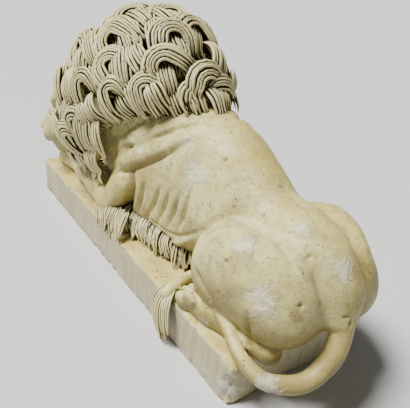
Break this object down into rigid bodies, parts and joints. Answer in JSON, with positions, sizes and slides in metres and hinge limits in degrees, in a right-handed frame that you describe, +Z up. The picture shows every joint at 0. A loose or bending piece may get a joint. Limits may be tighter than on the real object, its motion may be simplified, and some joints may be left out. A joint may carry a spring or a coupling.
{
  "type": "lion statue",
  "caption": "Stone lion lying at rest on a rectangular plinth, head low and turned to its left, deep carved mane and tail curled round the haunch.",
  "frame": {"origin": "middle of the plinth's underside", "axes": "+X along the plinth towards the lion's head, +Y to the lion's left, +Z up"},
  "size_m": [0.4249, 0.1582, 0.239],
  "materials": {
    "stone": "worn cream stone with yellowed patina and dirt in the carving"
  },
  "bodies": {
    "root": {"lion_statue": "stone"}
  },
  "joints": []
}
